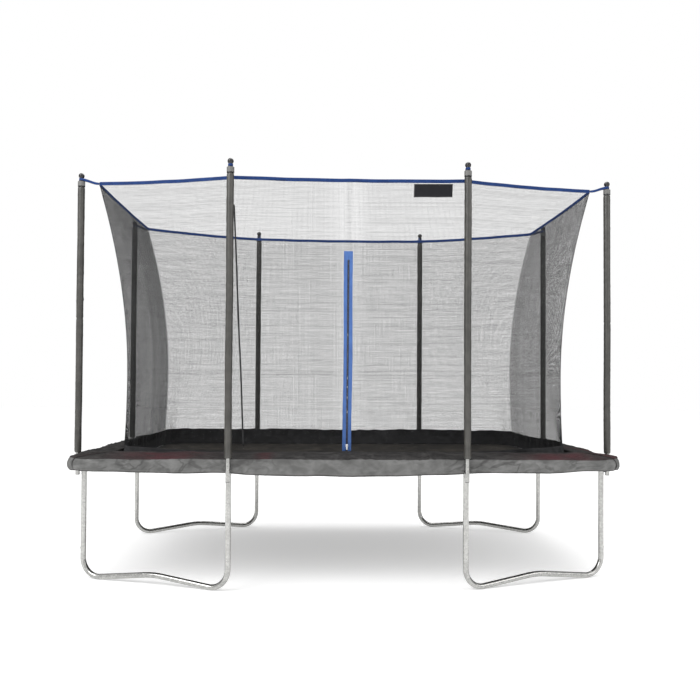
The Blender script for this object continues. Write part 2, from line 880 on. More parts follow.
@dataclass(frozen=True)
class Layout:
    """Positions that the sub-assemblies share, read off the CAD nodes."""

    half_x: float  # the short rails' centreline
    half_y: float  # the long rails' centreline
    rail_z: float  # the rails' centreline
    long_x: float  # poles on the long sides
    short_y: float  # poles on the short sides
    pole_out: float  # pole's middle from the rail's
    pole_r: float  # pole's radius
    rim_x: float  # rim's outer reach
    rim_y: float  # rim's outer reach
    rim_z: float  # middle of the rim's webbing on the long sides
    strap_z: float  # straps at the pole caps

    @classmethod
    def read(cls) -> "Layout":
        """Takes each position from the box of the node that it belongs to.

        Returns:
            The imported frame's layout.
        """
        def middle(node: str) -> Vector:
            """Middle of a node's box."""
            low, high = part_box(node)
            return (low + high) / 2

        long_rail, short_rail = middle("rail_long_back"), middle("rail_short_right")
        long_pole, short_pole = middle("pole_lower_back_right"), middle("pole_lower_right_back")
        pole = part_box("pole_lower_back_right")
        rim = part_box("net_rim")
        return cls(
            half_x=short_rail.x, half_y=long_rail.y, rail_z=long_rail.z, long_x=long_pole.x,
            short_y=short_pole.y, pole_out=long_pole.y - long_rail.y,
            pole_r=(pole[1].x - pole[0].x) / 2, rim_x=rim[1].x - 0.001, rim_y=rim[1].y - 0.001,
            rim_z=rim[0].z + 0.012, strap_z=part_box("net_straps")[1].z - 0.004,
        )

    def poles(self) -> list[tuple[float, float, float, bool]]:
        """Places of the eight poles.

        Returns:
            Each pole's x, y, outward angle, and whether it stands on a long side.
        """
        long_y, short_x = self.half_y + self.pole_out, self.half_x + self.pole_out
        out = []
        for sx in (-1, 1):
            for sy in (-1, 1):
                out.append((sx * self.long_x, sy * long_y, sy * math.pi / 2, True))
                out.append((sx * short_x, sy * self.short_y, 0.0 if sx > 0 else math.pi, False))
        return out


def dress(nodes: Sequence[str], finish: Finish) -> None:
    """Gives CAD nodes a finish, and logs them.

    Args:
        nodes: names of the CAD nodes.
        finish: what they are covered in.
    """
    for name in nodes:
        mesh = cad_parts[name].data
        mesh.materials.clear()
        mesh.materials.append(finish.material())
    LOG.info("%s: %s", finish.name, ", ".join(nodes))


def settle(
    piece: bpy.types.Object, replaces: Sequence[str] = (), body: str | None = "root"
) -> bpy.types.Object:
    """Puts a finished piece on its body and what it stands for, and logs it.

    Args:
        piece: the finished piece.
        replaces: CAD nodes that it stands for.
        body: body that it rides on, or None for a piece that blends between two.

    Returns:
        The piece itself.
    """
    if body is not None:
        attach(piece, body)
    if replaces:
        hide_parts(*replaces)
    LOG.info("%s: %d faces", piece.name, len(piece.data.polygons))
    return piece


# ---------------------------------------------------------------- steelwork and poles


@dataclass
class Steelwork:
    """Rails, legs, poles and their fixings, which keep their CAD shape."""

    layout: Layout
    weld_r: float = 0.0022  # radius of a weld bead
    tubes: tuple[str, ...] = (
        "rail_corner", "rail_long", "rail_short", "leg_base", "leg_post", "pole_lower", "pole_upper"
    )

    def build(self) -> None:
        """Dresses the nodes and adds the weld beads."""
        dress([name for name in sorted(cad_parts) if name.startswith(self.tubes)], GALVANISED)
        dress(["pole_bolts", "pole_nuts", "leg_screws", "rail_screws"], BOLT_ZINC)
        dress(["v_rings"], SPRING_ZINC)
        dress(["pole_plugs", "pole_spacers"], BLACK_PLASTIC)
        dress(["pole_caps"], CapPlastic("cap_plastic"))
        settle(self.welds())

    def welds(self, steps: int = 72) -> bpy.types.Object:
        """Weld bead round each stub where it meets the rail.

        The bead follows the saddle curve of two equal tubes: at angle a round the stub it
        lies at height -sqrt(r^2 - (r cos a)^2) under the rail's centreline, and its radius
        ripples along it.

        Args:
            steps: points round each bead.

        Returns:
            The new piece.
        """
        lo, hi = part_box("rail_long_back")
        r = (hi.y - lo.y) / 2
        a = np.linspace(0, TURN, steps, endpoint=False)
        shape = Shape()
        for x, y, out, _ in self.layout.poles():
            along = np.array([-math.sin(out), math.cos(out), 0])
            away = np.array([math.cos(out), math.sin(out), 0])
            foot = np.array([x, y, self.layout.rail_z]) - away * self.layout.pole_out
            side, over = np.cos(a) * r, np.sin(a) * r
            drop = -np.sqrt(np.maximum(r * r - over * over, (0.35 * r) ** 2))
            path = foot + side[:, None] * along + over[:, None] * away + drop[:, None] * UP
            path = path + unit(side[:, None] * along + over[:, None] * away) * 0.0004
            bead = self.weld_r * (1 + 0.18 * np.sin(a * 24) + 0.08 * np.sin(a * 7 + x))
            normal, up = path_frame(path, True, UP)
            shape.grid(sweep(path, normal, up, ring(bead, 8)), True, True)
        return shape.made("weld_beads", GALVANISED)


@dataclass
class PoleSleeves:
    """Foam sleeves in cloth on the poles, in two lengths that meet at the tube joint."""

    layout: Layout
    radius: float = 0.0235  # outside radius
    seam_ridge: float = 0.0011  # height of the sewn seam
    rows: int = 170  # points up a sleeve
    columns: int = 36  # points round it

    def build(self) -> None:
        """One piece for the eight sleeves."""
        low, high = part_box("pole_sleeves")
        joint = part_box("pole_upper_back_right")[0].z + 0.045
        length = np.linspace(0, high.z - low.z, self.rows)
        around = np.linspace(0, TURN * self.radius, self.columns + 1)
        shape = Shape()
        for i, (x, y, out, _) in enumerate(self.layout.poles()):
            points = self.sleeve((x, y), out, (low.z, joint, high.z), i)
            shape.grid(points, close_columns=True, uv=(length, around))
        made = shape.made("foam_sleeves", SleeveCloth("sleeve_cloth"))
        piece = settle(made, ["pole_sleeves"])

    def sleeve(
        self, place: tuple[float, float], out: float, heights: tuple[float, float, float], seed: int
    ) -> Array:
        """Surface of one sleeve.

        Radius at height z and angle a: the nominal radius, pulled in to the tube over the
        last 9 mm at both ends, less a groove at the joint, plus a ridge for the seam, plus
        soft lumps and a few slanting creases.

        Args:
            place: x and y of the pole.
            out: its outward angle.
            heights: height of the sleeve's foot, of the joint and of its top.
            seed: number of the pole, which seeds the lumps.

        Returns:
            Points, shape (rows, columns, 3).
        """
        (x, y), (low, joint, high) = place, heights
        t = np.linspace(0, 1, self.rows - 4)
        first, second = 0.0009, 0.0026
        rise = np.concatenate(
            [[0, first, second], second + t[1:-1] * (1 - 2 * second), [1 - second, 1 - first, 1]]
        )
        rise = np.interp(np.linspace(0, 1, self.rows), np.linspace(0, 1, len(rise)), rise)
        z = low + (high - low) * rise[:, None]
        a = np.linspace(0, TURN, self.columns, endpoint=False)[None, :]
        end = np.minimum(z - low, high - z)
        full = np.sqrt(np.clip(1 - (1 - np.clip(end / 0.009, 0, 1)) ** 2, 0, 1))
        lumps = ripple(a * 0.03, z, (0.12, 0.5), 40 + seed) * 0.0006
        creases = ripple(a * 0.05 + z * 0.35, z, (0.02, 0.09), 60 + seed) ** 3 * 0.0007
        seam = bell(np.angle(np.exp(1j * (a - out - math.pi - 0.6))), 0, 0.09) * self.seam_ridge
        groove = bell(z, joint, 0.0035) * 0.0024 - bell(z, joint + 0.012, 0.006) * 0.0007
        r = mix(self.layout.pole_r + 0.0007, self.radius + lumps + creases + seam - groove, full)
        sway = ripple(z, z * 0, (0.6, 1.8), 80 + seed, 4) * 0.0009
        turn = ripple(z, z * 0, (0.8, 2.0), 90 + seed, 4) * 0.0009
        return np.stack(
            [x + r * np.cos(a) + sway * full, y + r * np.sin(a) + turn * full, z + 0 * a], -1
        )


# ---------------------------------------------------------------- pads


@dataclass
class FramePads:
    """Padding over the rails and springs: foam under a cloth cover with a hanging skirt."""

    layout: Layout
    fan_r: float = 0.236  # bend radius of the rails' corners
    inner: float = 0.235  # reach in from the rail's centreline
    edge: float = 0.0235  # reach out to the cord
    skirt_t: float = 0.0024  # thickness of the skirt's cloth
    top_out: float = 0.862  # height of the top at the cord
    floor: float = 0.8225  # underside over the rail
    rise: float = 0.024  # how much higher the inner edge lies
    crown: float = 0.007  # bulge of the foam
    skirt_z: float = 0.766  # height of the skirt's hem
    mitre_gap: float = 0.0007  # gap between neighbours at a corner
    notch: float = 0.0145  # half width of the notch behind a pole
    notch_z: float = 0.8135  # height of the notch
    step: float = 0.0095  # spacing of the stations
    join_x: float = 0.53  # place of the join between covers
    bag: float = 0.034  # how far the corners bag out
    # Middle and width of each faded stretch.
    faded: tuple[tuple[float, float], ...] = ((-1.22, 0.33), (-0.55, 0.07), (1.42, 0.3))

    def build(self) -> None:
        """One piece for each side, in place of its CAD pad."""
        finish = PadCover("pad_cover")
        for side in Side:
            piece = self.pad(side).made(f"cover_{side.name.lower()}", finish)
            settle(piece, [f"pad_{side.name.lower()}"])

    def stations(self, half: float, post: float) -> Array:
        """Distances along a side at which the profile is placed.

        Even steps, with extra stations at the skirt's notches behind the poles and at the
        join between the two covers. The ends are half-way round the corner arcs.

        Args:
            half: distance from the side's middle to the corner.
            post: distance from the side's middle to its poles.

        Returns:
            Distances from the side's middle, in order.
        """
        arc = self.fan_r * math.pi / 4
        end = half - self.fan_r + arc
        even = np.linspace(-end, end, int(2 * end / self.step))
        beside = np.array([-self.notch - 0.0015, -self.notch, self.notch, self.notch + 0.0015])
        extra = np.concatenate([beside - post, beside + post, self.join_x + np.array([-0.0008, 0.0008])])
        return np.unique(np.concatenate([even, extra]))

    def profile(self) -> tuple[Array, Array, Array, Array]:
        """The closed outline across a pad, before its folds.

        Returns:
            Offset out from the rail's centreline, height, how far each point belongs to the
            skirt's hanging part, from 0 at its top to 1 at its hem, and the skirt's share.
        """
        o, e = self.inner, self.edge
        inner_top = self.top_out + self.rise
        t = np.linspace(0, 1, 30)
        slope_o = mix(-o + 0.008, e - 0.006, t)
        slope_z = mix(inner_top, self.top_out, t) + self.crown * np.sin(math.pi * t) ** 0.8
        a = np.linspace(math.pi, math.pi / 2, 5)[:-1]
        lip_o, lip_z = -o + 0.008 + 0.008 * np.cos(a), inner_top - 0.008 + 0.008 * np.sin(a)
        b = np.linspace(1.9, -0.35, 9)
        cord_o, cord_z = e - 0.001 + 0.0042 * np.cos(b), self.top_out - 0.0048 + 0.0042 * np.sin(b)
        d = np.linspace(0.02, 1, 22)
        out_o, out_z = np.full(22, e + 0.003), mix(self.top_out - 0.007, self.skirt_z, d)
        back = np.linspace(1, 0.4, 18)
        in_o, in_z = np.full(18, e + 0.003 - self.skirt_t), mix(self.top_out - 0.007, self.skirt_z, back)
        under_o = np.array([e - 0.006, 0.0, -0.06, -0.12, -0.18, -o + 0.006, -o + 0.0015])
        under_z = np.interp(-under_o, [0, o], [self.floor, self.floor + 0.036])
        offset = np.concatenate([lip_o, slope_o, cord_o, out_o, in_o, under_o])
        height = np.concatenate([lip_z, slope_z, cord_z, out_z, in_z, under_z])
        hang = np.concatenate([np.zeros(4 + 30 + 9), d, back, np.zeros(7)])
        skirt = np.concatenate(
            [np.zeros(4 + 30), smooth(np.arange(9.0), 6, 8), 1 - smooth(d, 0.88, 1.0), np.zeros(18 + 7)]
        )
        return offset, height, hang, skirt

    def hem_height(self, s: Array, half: float, post: float) -> Array:
        """Height of the skirt's lower edge: it sags between the poles and lifts at the corners.

        Args:
            s: distances from the side's middle.
            half: distance to the corner.
            post: distance to the poles.

        Returns:
            Heights in the shape of s.
        """
        inside = np.clip(1 - (s / post) ** 2, 0, 1)
        beyond = np.clip((np.abs(s) - post) / (half - post), 0, 1.3)
        return self.skirt_z - 0.02 * inside + 0.017 * beyond**1.5

    def pad(self, side: Side) -> Shape:
        """The pad of one side, built as the front one and turned into place.

        Args:
            side: the side that it lies on.

        Returns:
            Its grids, with the skirt, fade and seam of each point.
        """
        place = self.layout
        if side.long:
            half, depth, post = place.half_x, place.half_y, place.long_x
        else:
            half, depth, post = place.half_y, place.half_x, place.short_y
        s = self.stations(half, post)
        offset, height, hang, skirt = self.profile()
        straight = half - self.fan_r
        bend = np.sign(s) * np.maximum(np.abs(s) - straight, 0) / self.fan_r
        mitre = 1 - self.mitre_gap / 0.6 / np.maximum(np.abs(s).max() - straight, 1e-6)
        bend = bend * np.where(np.abs(s) > straight, mitre, 1)
        centre = np.stack([np.clip(s, -straight, straight), np.full_like(s, self.fan_r - depth)], -1)
        away = np.stack([np.sin(bend), -np.cos(bend)], -1)
        seed = 10 * side.value
        so, oo = np.broadcast_arrays(s[:, None], offset[None, :])
        top = (1 - skirt) * (height > self.floor + 0.02)
        top = top[None, :] * smooth(oo, -self.inner, -self.inner + 0.05) * 0.7 + 0.3 * top[None, :]
        hem = self.hem_height(s, half, post) + 0.005 * ripple(s, s * 0, (0.2, 0.8), seed + 3)
        hem = np.where(np.abs(np.abs(s) - post) < self.notch + 0.0008, self.notch_z, hem)
        hang_z = mix(self.top_out - 0.007, hem[:, None], hang[None, :])
        z = np.where(hang[None, :] > 0, hang_z, height[None, :])
        soft = ripple(so, oo, (0.18, 0.6), seed + 4)
        tucks = ripple(so, oo * 0.35, (0.035, 0.11), seed + 5, 9)
        uneven = ripple(so, so * 0, (0.5, 1.4), seed + 6)
        gather = np.clip(0.35 + 0.9 * bell(so, 0.12, 0.5) + 0.3 * uneven, 0, 1.3)
        wander = 2.2 * ripple(so, oo, (0.2, 0.5), seed + 7)
        slant = np.sin(TURN * (so * 0.9 + oo * 1.5) / 0.052 + wander)
        slant = slant * bell(oo, -0.03, 0.09)
        z = z + top * (0.0065 * soft + 0.0032 * tucks * gather + 0.0032 * slant * gather)
        lap = smooth(so, self.join_x - 0.001, self.join_x + 0.001)
        lap = lap * np.exp(-np.maximum(so - self.join_x, 0) / 0.12)
        z = z + top * 0.0035 * lap
        folds = ripple(so, so * 0, (0.16, 0.7), seed + 8)[:, :1]
        creases = ripple(so + hang[None, :] * 0.05, hang[None, :] * 0.09, (0.05, 0.16), seed + 9, 9)
        flare = hang[None, :] * (0.004 * folds + 0.003 * lap[:, :1] + 0.002)
        flare = flare + np.sqrt(hang[None, :]) * 0.0046 * creases
        flare = flare * np.clip(np.abs(np.abs(s) - post)[:, None] / 0.12, 0.1, 1)
        bag = smooth(np.abs(s), straight - 0.06, straight + 0.12)[:, None]
        bulge = 0.5 + 0.5 * np.sin(math.pi * hang)[None, :] ** 0.7
        flare = flare + self.bag * bag * bulge * smooth(oo, -0.05, self.edge)
        radius = np.maximum(self.fan_r + oo + flare, 0.0006)
        flat = centre[:, None, :] + away[:, None, :] * radius[..., None]
        points = np.concatenate([flat, z[..., None]], -1)
        faded = sum(bell(so, middle, width) ** 2 for middle, width in self.faded)
        faded = np.clip(faded * 1.2, 0, 1) * top * smooth(oo, -0.24, -0.1)
        seam = np.clip(bell(oo, self.edge - 0.012, 0.0016) + bell(hang[None, :], 0.86, 0.03), 0, 1)
        arc = np.concatenate([[0], np.cumsum(np.hypot(np.diff(offset), np.diff(height)))])
        arc = np.append(arc, arc[-1] + 0.03)
        to_end = np.abs(s).max() - np.abs(so)
        shape = Shape().grid(
            turned(points, side.angle), False, True, (s, arc), flip=True,
            skirt=skirt * smooth(to_end, 0.004, 0.011), fade=faded, seam=seam * (np.abs(so) < half),
        )
        middle = points.mean(1)
        for end in (0, -1):
            cap = np.stack([points[end], np.broadcast_to(middle[end], points[end].shape)])
            shape.grid(
                turned(cap, side.angle), False, True, (np.zeros(2), arc), flip=end == 0,
                skirt=np.zeros(()), fade=np.zeros(()), seam=np.zeros(()),
            )
        return shape


# ---------------------------------------------------------------- jumping bed


@dataclass
class JumpBed:
    """Mat, its webbing hem and tabs, and the springs to the rails."""

    layout: Layout
    corner_r: float = 0.1  # the mat's corners
    hem_w: float = 0.039  # width of the webbing
    hem_t: float = 0.0046  # its thickness
    sag: float = 0.004  # depth of the mat's middle
    coil_r: float = 0.0092  # middle radius of a spring's coil
    wire_r: float = 0.0016  # radius of its wire
    coil: tuple[float, float] = (0.033, 0.192)  # coil's ends, in from the rail
    turns: int = 30  # turns of a coil
    pitch: float = 0.15  # spacing of the springs
    hook_bar: float = 0.2125  # ring's bar, in from the rail
    rail_hook: float = 0.012  # rail's hole, in from its centreline

    def __post_init__(self) -> None:
        """Reads the mat's half sizes and the height of its middle."""
        low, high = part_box("jump_mat")
        self.x, self.y, self.z = high.x, high.y, (low.z + high.z) / 2

    def build(self) -> None:
        """The mat and hem ride on the bed; the springs stretch between frame and bed."""
        hem, tabs = self.hem(), self.tabs()
        mat = self.mat()
        settle(mat, ["jump_mat"], "bed")
        settle(hem, (), "bed")
        settle(tabs, (), "bed")
        for side in Side:
            springs = self.springs(side).made(f"springs_{side.name.lower()}", SPRING_ZINC)
            settle(springs, ["springs"] if side is Side.FRONT else (), None)
            depth = self.layout.half_y if side.long else self.layout.half_x
            start, end = (
                turned(np.array([[0, at - depth, self.layout.rail_z]]), side.angle)[0]
                for at in (self.rail_hook, self.hook_bar)
            )
            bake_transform(springs)

    def mat(self) -> bpy.types.Object:
        """Woven mat: a grid whose corner squares are bent to quarter discs.

        In a corner square with sides a and b from 0 to 1, x is a sqrt(1 - b^2 / 2) and y is
        b sqrt(1 - a^2 / 2). The height sags as (1 - x^2)(1 - y^2) with faint waves.

        Returns:
            The new piece.
        """
        def lines(half: float) -> Array:
            """Grid lines along one axis, closer in the corner squares.

            Args:
                half: half the mat's size along the axis.

            Returns:
                Position of each line.
            """
            inner = half - self.corner_r
            corner = inner + self.corner_r * np.linspace(0, 1, 9)
            even = np.linspace(-inner, inner, int(inner / 0.022))[1:-1]
            return np.concatenate([-corner[::-1], even, corner])

        r = self.corner_r
        x, y = np.meshgrid(lines(self.x), lines(self.y), indexing="ij")
        a = np.clip((np.abs(x) - self.x + r) / r, 0, 1)
        b = np.clip((np.abs(y) - self.y + r) / r, 0, 1)
        px = np.where(a > 0, np.sign(x) * (self.x - r + r * a * np.sqrt(1 - b * b / 2)), x)
        py = np.where(b > 0, np.sign(y) * (self.y - r + r * b * np.sqrt(1 - a * a / 2)), y)
        bowl = (1 - (px / self.x) ** 2) * (1 - (py / self.y) ** 2)
        waves = 0.0007 * ripple(px, py, (0.5, 1.6), 5) * np.sqrt(np.clip(bowl, 0, 1))
        z = self.z + 0.0008 - self.sag * bowl + waves
        shape = Shape().grid(np.stack([px, py, z], -1), uv=(x[:, 0], y[0]))
        piece = shape.made("mat_cloth", MatWeave("mat_weave"))
        thicken(piece, 0.0022)
        return piece

    def outline(self, inset: float, count: int = 44) -> tuple[Array, Array]:
        """Rounded rectangle inside the mat's edge, and its length at each point.

        Args:
            inset: distance in from the edge.
            count: points in each corner arc.

        Returns:
            Points, counter-clockwise from the middle of the front, and the length so far,
            with the whole length last.
        """
        r = self.corner_r - inset
        quarter = np.linspace(-math.pi / 2, 0, count)
        middle = np.array([self.x - self.corner_r, self.corner_r - self.y])
        corner = middle + r * np.stack([np.cos(quarter), np.sin(quarter)], -1)
        side = np.linspace(0.02, 0.98, 40)[:, None]
        parts = []
        for sx, sy in ((1, 1), (1, -1), (-1, -1), (-1, 1)):
            arc = corner * [sx, sy]
            parts.append(arc if sx * sy > 0 else arc[::-1])
        joined = []
        for i, arc in enumerate(parts):
            after = parts[(i + 1) % 4]
            joined += [arc, mix(arc[-1], after[0], side)]
        flat = np.concatenate(joined)
        points = np.concatenate([flat, np.full((len(flat), 1), self.z)], -1)
        steps = np.linalg.norm(np.roll(points, -1, 0) - points, axis=1)
        return points, np.concatenate([[0], np.cumsum(steps)])

    def hem(self) -> bpy.types.Object:
        """Webbing folded over the mat's edge, a flat strip carried round the outline.

        Returns:
            The new piece.
        """
        path, length = self.outline(self.hem_w / 2)
        side, up = path_frame(path, True, UP)
        strip = flat_strip(self.hem_w, self.hem_t, 7)
        across = np.append(strip[:, 0] + self.hem_w / 2, strip[0, 0] + self.hem_w / 2)
        pucker = 1 + 0.04 * ripple(length[:-1], length[:-1] * 0, (0.05, 0.3), 8)
        profile = strip[None] * np.stack([np.ones_like(pucker), pucker], -1)[:, None]
        shape = Shape().grid(sweep(path, side, up, profile), True, True, (length, across))
        return shape.made("mat_hem", BLACK_HEM)

    def places(self, side: Side) -> Array:
        """Distances along a side at which the springs sit, centred, one pitch apart.

        Args:
            side: the side that they are on.

        Returns:
            Distances from the side's middle.
        """
        half = self.layout.half_x if side.long else self.layout.half_y
        count = int(2 * (half - 0.295) / self.pitch)
        return (np.arange(count) - (count - 1) / 2) * self.pitch

    def tabs(self) -> bpy.types.Object:
        """Short webbing loops that hold the V-rings, humped over the ring's bar.

        Returns:
            The new piece.
        """
        shape = Shape()
        across = np.linspace(-0.017, 0.017, 7)
        along = np.linspace(-0.002, 0.034, 11)
        hump = self.hem_t / 2 + 0.0012 + 0.0028 * bell(along, 0.003, 0.005)
        hump[[0, -1]] -= 0.0014
        for side in Side:
            depth = (self.layout.half_y if side.long else self.layout.half_x) - 0.25
            at = self.places(side)[:, None, None]
            x = at + across[None, :, None]
            y = along[None, None, :] - depth
            z = self.z + hump[None, None, :] - 0.0008 * (np.abs(across) > 0.0165)[None, :, None]
            points = np.stack(np.broadcast_arrays(x, y, z), -1)
            shape.grid(turned(points, side.angle), uv=(across + 0.017, along + 0.002))
        piece = shape.made("ring_tabs", BLACK_TAPE)
        thicken(piece, 0.0011)
        return piece

    def springs(self, side: Side) -> Shape:
        """The springs of one side: a helix and two hooks each.

        The helix is (r cos a, y, r sin a) with y rising evenly from one end of the coil to
        the other. Each hook is a straight run and an arc in the spring's own upright plane.

        Args:
            side: the side that they are on.

        Returns:
            Their grids.
        """
        depth = self.layout.half_y if side.long else self.layout.half_x
        places = self.places(side)
        level = np.full_like(places, self.layout.rail_z)
        base = np.stack([places, np.full_like(places, -depth), level], -1)
        shape = Shape()
        a = np.linspace(math.pi / 2, math.pi / 2 + TURN * self.turns, self.turns * 9 + 1)
        y = np.linspace(*self.coil, len(a))
        end = np.minimum(y - self.coil[0], self.coil[1] - y)
        r = self.coil_r * mix(0.55, 1.0, smooth(end, 0, 0.006))
        helix = np.stack([r * np.cos(a), y, r * np.sin(a)], -1)
        radial = np.stack([np.cos(a), 0 * a, np.sin(a)], -1)
        tangent = unit(np.gradient(helix, axis=0))
        size = np.full(len(a), self.wire_r)
        size[[0, -1]] = 1e-5
        wire = ring(size, 4, 0.4)
        coil = sweep(helix, radial, unit(np.cross(tangent, radial)), wire)
        b = np.linspace(math.pi / 2, -math.pi * 0.42, 9)
        hook = np.concatenate([
            [[self.coil[1] - 0.004, self.coil_r * 0.7], [self.coil[1] + 0.002, self.coil_r]],
            np.stack([self.hook_bar + self.coil_r * np.cos(b), self.coil_r * np.sin(b)], -1),
        ])
        c = np.linspace(0, math.pi * 0.62, 7)
        rail = np.concatenate([
            [[self.coil[0] + 0.003, 0.004], [self.coil[0] - 0.004, 0.0]],
            np.stack([self.rail_hook + 0.002 - 0.004 * np.sin(c), -0.004 + 0.004 * np.cos(c)], -1),
        ])
        for run in (hook, rail):
            path = np.stack([np.zeros(len(run)), run[:, 0], run[:, 1]], -1)
            lateral = np.broadcast_to([1.0, 0, 0], path.shape)
            normal = unit(np.cross(np.gradient(path, axis=0), lateral))
            size = np.full(len(run), self.wire_r)
            size[[0, -1]] = 1e-5
            tube = sweep(path, lateral, normal, ring(size, 6))
            shape.grid(turned(base[:, None, None] + tube[None], side.angle), False, True)
        shape.grid(turned(base[:, None, None] + coil[None], side.angle), False, True)
        return shape


# ---------------------------------------------------------------- safety net


@dataclass
class NetForm:
    """The tensioned surface of the net.

    u runs counter-clockwise from the middle of the front, one unit to each quarter of the
    way round, and v runs from the foot at 0 to the rim at 1.
    """

    layout: Layout
    foot_z: float = 0.812  # height of the foot
    rise: float = 0.022  # how much higher the rim is on the short sides
    rim_sag: float = 0.008  # dip of the rim between poles
    seam_in: float = 0.073  # how far the long-side seam leans in at the foot
    waist_x: float = 1.538  # reach of the short side's seam at the waist
    waist_v: float = 0.335  # share of the way up of the waist
    corner_share: float = 0.78  # corner line's place on the chord
    corner_cut: float = 0.0293  # how far it stays inside the mat's corner
    softness: tuple[float, float, float] = (0.004, 0.016, 0.004)  # rounding of the three bends

    def __post_init__(self) -> None:
        """Reads the foot's outline off the mat."""
        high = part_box("jump_mat")[1]
        self.foot_x, self.foot_y = high.x + 0.002, high.y + 0.002
        self.top_z = self.layout.rim_z - 0.014
        m = np.array([self.layout.long_x * 0.96, 0.81, 0.2, self.layout.short_y * 0.96])
        self.knots = np.cumsum(m)[:3] / m.sum()

    def seams(self, v: Array) -> tuple[Array, Array, Array]:
        """Plan position of the long-side seam, the corner line and the short-side seam.

        The short-side seam is drawn in at the waist: above it the reach grows as t^1.9 and
        below it as t^2. The corner line lies on the chord at the rim and moves to the
        mat's corner as (1 - v)^3.

        Args:
            v: share of the way up, from 0 to 1.

        Returns:
            The three lines' x and y, each with 2 as its last axis.
        """
        place = self.layout
        long_seam = np.stack([place.long_x - self.seam_in * (1 - v), mix(self.foot_y, place.rim_y, v)], -1)
        above = np.clip((v - self.waist_v) / (1 - self.waist_v), 0, 1) ** 1.9
        below = np.clip((self.waist_v - v) / self.waist_v, 0, 1) ** 2
        x = self.waist_x + (place.rim_x - self.waist_x) * above + (self.foot_x - self.waist_x) * below
        short_seam = np.stack([x, place.short_y - 0.06 * np.clip(1 - v, 0, 1) ** 1.3], -1)
        chord = mix(long_seam, short_seam, self.corner_share)
        corner = np.stack([x, long_seam[..., 1]], -1) - self.corner_cut
        corner_line = mix(chord, corner, (np.clip(1 - v, 0, 1) ** 3)[..., None])
        return long_seam, corner_line, short_seam

    def at(self, u: Array, v: Array) -> Array:
        """Points of the surface.

        In a quarter, the plan is a line through five knots whose slope changes are rounded:
        P(w) = P0 + s0 w + sum of (s_k - s_(k-1)) ramp(w - w_k).

        Args:
            u: way round.
            v: way up.

        Returns:
            Points, in the shape of u and v together, with 3 as the last axis.
        """
        u, v = np.broadcast_arrays(np.asarray(u, float), np.asarray(v, float))
        quarter = np.floor(u) % 4
        w = u - np.floor(u)
        w = np.where(quarter % 2 == 1, 1 - w, w)
        long_seam, corner, short_seam = self.seams(v)
        zero = np.zeros_like(v)
        start, finish = np.stack([zero, long_seam[..., 1]], -1), np.stack([short_seam[..., 0], zero], -1)
        knots = [start, long_seam, corner, short_seam, finish]
        marks = [0.0, *self.knots, 1.0]
        slopes = [(knots[i + 1] - knots[i]) / (marks[i + 1] - marks[i]) for i in range(4)]
        plan = knots[0] + slopes[0] * w[..., None]
        for i, soft in enumerate(self.softness):
            plan = plan + (slopes[i + 1] - slopes[i]) * ramp(w - marks[i + 1], soft)[..., None]
        first, third = self.knots[0], self.knots[2]
        top = self.top_z + self.rise * np.clip((w - first) / (third - first), 0, 1)
        short_span = 0.5 - 0.5 * (1 - w) / (1 - third)
        corner_span = (w - first) / (third - first)
        span = np.where(w < first, 0.5 + 0.5 * w / first, np.where(w > third, short_span, corner_span))
        top = top - self.rim_sag * 4 * span * (1 - span)
        z = self.foot_z + v * (top - self.foot_z)
        sx = np.where(quarter < 2, 1, -1)
        sy = np.where((quarter == 1) | (quarter == 2), 1, -1)
        return np.stack([plan[..., 0] * sx, plan[..., 1] * sy, z], -1)

    def outward(self, u: Array, v: Array) -> Array:
        """Unit vectors out of the net, level: the tangent round it turned a quarter right."""
        along = self.at(u + 0.002, v) - self.at(u - 0.002, v)
        return unit(np.stack([along[..., 1], -along[..., 0], 0 * along[..., 0]], -1))

    def v_at(self, z: float | Array) -> float | Array:
        """The v of a height on the front panel."""
        return (z - self.foot_z) / (self.top_z - self.foot_z)


